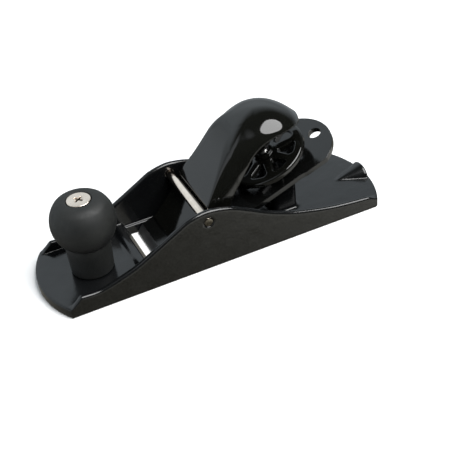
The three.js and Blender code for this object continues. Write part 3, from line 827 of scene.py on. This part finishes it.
def bend(start, corner, end, count):
    """Points of a curve that leaves start towards corner and reaches end from it, without the first."""
    points = []
    for i in range(1, count + 1):
        t = i / count
        a, b, c = (1 - t) ** 2, 2 * t * (1 - t), t ** 2
        points.append(tuple(a * p + b * q + c * r for p, q, r in zip(start, corner, end)))
    return points


def knob_profile():
    """Foot and stem, a shallow groove, the ball with its moulding seam, the crown and the screw's seat."""
    low, high = knob_low[2], knob_high[2]
    neck_z = KNOB_BALL_Z - math.sqrt(KNOB_BALL ** 2 - KNOB_NECK ** 2)
    foot_z = low + KNOB_FOOT
    profile = [(0, low), (KNOB_STEM - KNOB_FOOT, low)]
    profile += arc((KNOB_STEM - KNOB_FOOT, foot_z), KNOB_FOOT, -90, 0, 5)
    stem = neck_z - KNOB_GROOVE_DROP - foot_z
    profile += [(KNOB_STEM + (KNOB_NECK - KNOB_STEM) * t, foot_z + stem * t) for t in (0.25, 0.5, 0.75, 1)]
    profile += [(KNOB_NECK - KNOB_GROOVE, neck_z - 0.2), (KNOB_NECK - 0.05, neck_z)]

    crown_z = high - KNOB_CROWN
    start = math.degrees(math.asin((neck_z - KNOB_BALL_Z) / KNOB_BALL)) + KNOB_BALL_START
    end = math.degrees(math.asin((crown_z - KNOB_BALL_Z) / KNOB_BALL))
    for radius, height in arc((0, KNOB_BALL_Z), KNOB_BALL, start, end, 60):
        angle = math.degrees(math.atan2(height - KNOB_BALL_Z, radius))
        groove = KNOB_SEAM_DEPTH * math.exp(-((angle - KNOB_SEAM) / KNOB_SEAM_WIDTH) ** 2)
        shrink = 1 - groove / KNOB_BALL
        profile.append((radius * shrink, KNOB_BALL_Z + (height - KNOB_BALL_Z) * shrink))

    crown = KNOB_BALL * math.cos(math.radians(end))
    seat = SCREW_HEAD + SEAT_FIT
    profile += bend((crown, crown_z), (crown - KNOB_CROWN, high), (seat + KNOB_LIP, high), 10)
    profile += arc((seat + KNOB_LIP, high - KNOB_LIP), KNOB_LIP, 90, 180, 4)[1:]
    profile += [(seat, high - SEAT_WALL), (seat - SEAT_FLARE, high - SEAT_DEPTH), (0, high - SEAT_DEPTH)]
    return profile


def make_knob():
    piece = lathe("knob_ball", knob_profile(), at_mm(KNOB_X, 0, 0), 128)
    dress(piece, "frame", "knob_plastic", [PLASTIC], "front_knob")


def make_knob_screw():
    x = axis_steps((-6.5, 6.5, 0.22))
    z = axis_steps((-7, 1, 0.22))
    tip = screw_low[2] - screw_high[2]
    z = np.concatenate([[tip - 0.9, tip - 0.3, tip + 0.3, tip + 0.9], z])
    piece = surface("knob_screw_head", screw_field, (x, x, z), at_mm(KNOB_X, 0, screw_high[2]))
    dress(piece, "frame", "zinc", [SCREW_ZINC], "knob_screw")


def make_pin():
    flat = PIN_RADIUS - PIN_ROUND
    profile = [(0, -PIN_HALF), (flat, -PIN_HALF)]
    profile += arc((flat, -PIN_HALF + PIN_ROUND), PIN_ROUND, -90, 0, 5)[1:]
    profile += arc((flat, PIN_HALF - PIN_ROUND), PIN_ROUND, 0, 90, 5)
    profile += [(0, PIN_HALF)]
    place = at_mm(PIN_X, 0, PIN_Z) @ Matrix.Rotation(math.pi / 2, 4, "X")
    dress(lathe("steel_cross_pin", profile, place, 64), "frame", "zinc", [PIN_ZINC], "cross_pin")


def outline_curve(name, loops, thickness, bevel):
    """A flat piece from closed outlines, with its edges rounded, lying on z = 0."""
    curve = bpy.data.curves.new(name, "CURVE")
    curve.dimensions = "2D"
    curve.fill_mode = "BOTH"
    curve.extrude = thickness / 2 - bevel
    curve.bevel_depth = bevel
    curve.bevel_resolution = 2
    curve.offset = -bevel
    for loop in loops:
        spline = curve.splines.new("POLY")
        spline.points.add(len(loop) - 1)
        for point, (x, y) in zip(spline.points, loop):
            point.co = (x, y, 0, 1)
        spline.use_cyclic_u = True
    holder = bpy.data.objects.new(name, curve)
    bpy.context.scene.collection.objects.link(holder)
    mesh = bpy.data.meshes.new_from_object(holder)
    bpy.data.objects.remove(holder)
    mesh.transform(Matrix.Translation((0, 0, thickness / 2)))
    return mesh


def iron_mesh():
    """The iron lying flat, with its edge towards +X: outline, hanging hole and ground bevel."""
    spread = math.degrees(math.asin(IRON_HEAD_HALF / IRON_HEAD_RADIUS))
    shoulder = IRON_SHOULDER_U + IRON_SHOULDER_RUN
    head = arc((-IRON_HEAD_CENTRE_U, 0), IRON_HEAD_RADIUS, 180 - spread, 180 + spread, 64)
    blank_end = -IRON_EDGE_U + 3  # the bevel is cut from a blank that is longer than the iron
    loop = [(blank_end, IRON_HALF), (-IRON_SHOULDER_U, IRON_HALF), (-shoulder, IRON_HEAD_HALF)]
    loop += head
    loop += [(-shoulder, -IRON_HEAD_HALF), (-IRON_SHOULDER_U, -IRON_HALF), (blank_end, -IRON_HALF)]
    hole = arc((-IRON_HOLE_U, 0), IRON_HOLE, 0, 360, 48)[:-1]
    mesh = outline_curve("bevelled_iron", [loop, hole], IRON_THICK, IRON_ROUND)
    bm = bmesh.new()
    bm.from_mesh(mesh)
    bmesh.ops.remove_doubles(bm, verts=bm.verts, dist=1e-4)
    normal = Vector((math.sin(IRON_BEVEL), 0, math.cos(IRON_BEVEL)))
    geometry = bm.verts[:] + bm.edges[:] + bm.faces[:]
    sliced = bmesh.ops.bisect_plane(bm, geom=geometry, plane_co=(-IRON_EDGE_U, 0, 0), plane_no=normal,
                                    clear_outer=True)
    rim = [item for item in sliced["geom_cut"] if isinstance(item, bmesh.types.BMEdge)]
    ground = bmesh.ops.contextual_create(bm, geom=rim)["faces"]
    bmesh.ops.recalc_face_normals(bm, faces=bm.faces)
    for face in bm.faces:
        face.smooth = True
        face.material_index = IRON_MATERIALS.index(IRON_BLACK)
    for face in ground:
        face.material_index = IRON_MATERIALS.index(EDGE_STEEL)
    bm.to_mesh(mesh)
    bm.free()
    mesh.set_sharp_from_angle(angle=math.radians(30))
    return mesh


def make_iron():
    place = at_mm(BED_X, 0, 0) @ Matrix.Rotation(BED_ANGLE, 4, "Y")
    piece = make_object("bevelled_iron", iron_mesh(), place)
    piece.modifiers.new("even_shading", "WEIGHTED_NORMAL").keep_sharp = True
    dress(piece, "iron", "iron_paint", IRON_MATERIALS, "plane_iron")


def make_wheel_screw():
    """The wheel's screw, with a real thread and tapered ends."""
    low, high = box_mm("wheel_screw")
    span = (high[2] - low[2] - 2 * STUD_RADIUS * math.sin(WHEEL_TILT)) / math.cos(WHEEL_TILT)
    bottom = STUD_TOP - span - STUD_MARGIN
    mesh = bpy.data.meshes.new("threaded_stud")
    bm = bmesh.new()
    rings = []
    for height in np.arange(bottom, STUD_TOP + 1e-6, THREAD_PITCH / 8):
        from_end = min((height - bottom) / THREAD_FADES[0], (STUD_TOP - height) / THREAD_FADES[1], 1)
        swell = 1 - STUD_TAPER + STUD_TAPER * max(from_end, 0) ** 0.6
        ring = []
        for i in range(THREAD_STEPS):
            angle = 2 * math.pi * i / THREAD_STEPS
            phase = (height / THREAD_PITCH - i / THREAD_STEPS) % 1
            groove = THREAD_DEPTH * (1 - abs(2 * phase - 1))
            radius = (STUD_RADIUS - STUD_INSET - groove) * swell
            ring.append(bm.verts.new((radius * math.cos(angle), radius * math.sin(angle), height)))
        rings.append(ring)
    for below, above in zip(rings, rings[1:]):
        for i in range(THREAD_STEPS):
            after = (i + 1) % THREAD_STEPS
            bm.faces.new((below[i], below[after], above[after], above[i]))
    bm.faces.new(rings[0][::-1])
    bm.faces.new(rings[-1])
    for face in bm.faces:
        face.smooth = True
    bm.to_mesh(mesh)
    bm.free()
    mesh.set_sharp_from_angle(angle=math.radians(50))
    piece = make_object("threaded_stud", mesh, on_wheel_axis())
    dress(piece, "stud", "steel", [SCREW_STEEL], "wheel_screw")


make_body()
make_cap()
make_wheel()
make_knob()
make_knob_screw()
make_pin()
make_iron()
make_wheel_screw()


# ---- studio: sizes are in metres ----
FLOOR_HALF = 4.0
FLOOR_DROP = 0.0002


def make_floor():
    mesh = bpy.data.meshes.new("floor")
    corners = [(x * FLOOR_HALF, y * FLOOR_HALF, 0) for x, y in ((-1, -1), (1, -1), (1, 1), (-1, 1))]
    mesh.from_pydata(corners, [], [(0, 1, 2, 3)])
    floor = bpy.data.objects.new("floor", mesh)
    floor.location.z = -FLOOR_DROP
    paint = Paint("floor_white", (0.93, 0.93, 0.93), 0.7)
    paint.shader.inputs["Specular IOR Level"].default_value = 0.1
    mesh.materials.append(paint.material)
    floor.visible_glossy = False
    bpy.context.scene.collection.objects.link(floor)


def soft_light(name, place, target, size, power):
    data = bpy.data.lights.new(name, "AREA")
    data.shape = "ELLIPSE"
    data.size, data.size_y = size
    data.energy = power
    light = bpy.data.objects.new(name, data)
    light.location = place
    light.rotation_euler = (Vector(target) - Vector(place)).to_track_quat("-Z", "Y").to_euler()
    bpy.context.scene.collection.objects.link(light)


UP = (0, 0, 1)
PAST_TOE = (1, 0, 0)
NEAR_SIDE = (0, 1, 0)
UNLIT_SIDE = (-0.25, 0.75, 0.60)
TABLE_SIDE = (-0.7, 0.6, 0.8)


BLACK = (0, 0, 0)
WHITE = (1, 1, 1)


class Sky:
    """A small helper for the world's nodes, which give a colour for each direction."""

    def __init__(self, tree):
        self.tree = tree
        self.place = tree.nodes.new("ShaderNodeTexCoord").outputs["Generated"]

    def ramp(self, direction, *stops):
        """Colours by the part of the sky's direction that lies along another direction."""
        along = self.tree.nodes.new("ShaderNodeVectorMath")
        along.operation = "DOT_PRODUCT"
        along.inputs[1].default_value = Vector(direction).normalized()
        self.tree.links.new(self.place, along.inputs[0])
        spread = self.tree.nodes.new("ShaderNodeMapRange")
        first, last = stops[0][0], stops[-1][0]
        spread.inputs["From Min"].default_value = first
        spread.inputs["From Max"].default_value = last
        self.tree.links.new(along.outputs["Value"], spread.inputs["Value"])
        node = self.tree.nodes.new("ShaderNodeValToRGB")
        while len(node.color_ramp.elements) < len(stops):
            node.color_ramp.elements.new(0.5)
        for element, (value, colour) in zip(node.color_ramp.elements, stops):
            element.position = (value - first) / (last - first)
            element.color = (*colour, 1)
        self.tree.links.new(spread.outputs["Result"], node.inputs["Fac"])
        return node.outputs["Color"]

    def blend(self, kind, first, second, factor=None):
        node = self.tree.nodes.new("ShaderNodeMix")
        node.data_type = "RGBA"
        node.blend_type = kind
        node.inputs["Factor"].default_value = 1
        if factor:
            self.tree.links.new(factor, node.inputs["Factor"])
        self.tree.links.new(first, node.inputs["A"])
        self.tree.links.new(second, node.inputs["B"])
        return node.outputs["Result"]


def room_colour(sky):
    """A pale ceiling, a window past the toe, an unlit side, a bright doorway and a table below."""
    ceiling = sky.ramp(UP, (0.15, (0.42, 0.46, 0.49)), (0.5, (0.85, 0.94, 1.0)))
    window = sky.ramp(PAST_TOE, (0.15, BLACK), (0.5, (0.78, 0.85, 0.90)))
    unlit = sky.ramp(UNLIT_SIDE, (-0.15, WHITE), (0.22, (0.06, 0.06, 0.05)))
    table_shades = ((0.03, (0.24, 0.23, 0.20)), (0.13, (0.32, 0.31, 0.27)), (0.2, (1.15, 1.15, 1.08)))
    table = sky.ramp(TABLE_SIDE, *table_shades)
    door_shades = ((-0.1, BLACK), (0.05, (0.8, 0.85, 0.9)), (0.4, (1.0, 1.05, 1.1)), (0.58, BLACK))
    door = sky.ramp(NEAR_SIDE, *door_shades)
    door = sky.blend("MULTIPLY", door, sky.ramp(PAST_TOE, (0.25, BLACK), (0.5, WHITE)))
    above = sky.blend("MULTIPLY", sky.blend("LIGHTEN", ceiling, window), unlit)
    above = sky.blend("LIGHTEN", above, door)
    horizon = sky.ramp(UP, (-0.34, BLACK), (-0.26, WHITE))
    return sky.blend("MIX", table, above, horizon)


def make_world():
    """The room lights the piece and is mirrored in it, and the background is seen as plain white."""
    world = bpy.data.worlds.new("studio")
    world.use_nodes = True
    tree = world.node_tree
    tree.nodes.clear()
    sky = Sky(tree)
    white = tree.nodes.new("ShaderNodeRGB").outputs["Color"]
    white.default_value = (*WHITE, 1)
    seen = tree.nodes.new("ShaderNodeLightPath").outputs["Is Camera Ray"]
    shade = tree.nodes.new("ShaderNodeBackground")
    tree.links.new(sky.blend("MIX", room_colour(sky), white, seen), shade.inputs["Color"])
    out = tree.nodes.new("ShaderNodeOutputWorld")
    tree.links.new(shade.outputs["Background"], out.inputs["Surface"])
    bpy.context.scene.world = world


make_floor()
make_world()
soft_light("overhead", place=(-0.42, 0.445, 1.01), target=(0, 0, 0), size=(1.2, 1.1), power=28)

view = bpy.context.scene.view_settings
view.view_transform = "Standard"
view.look = "None"
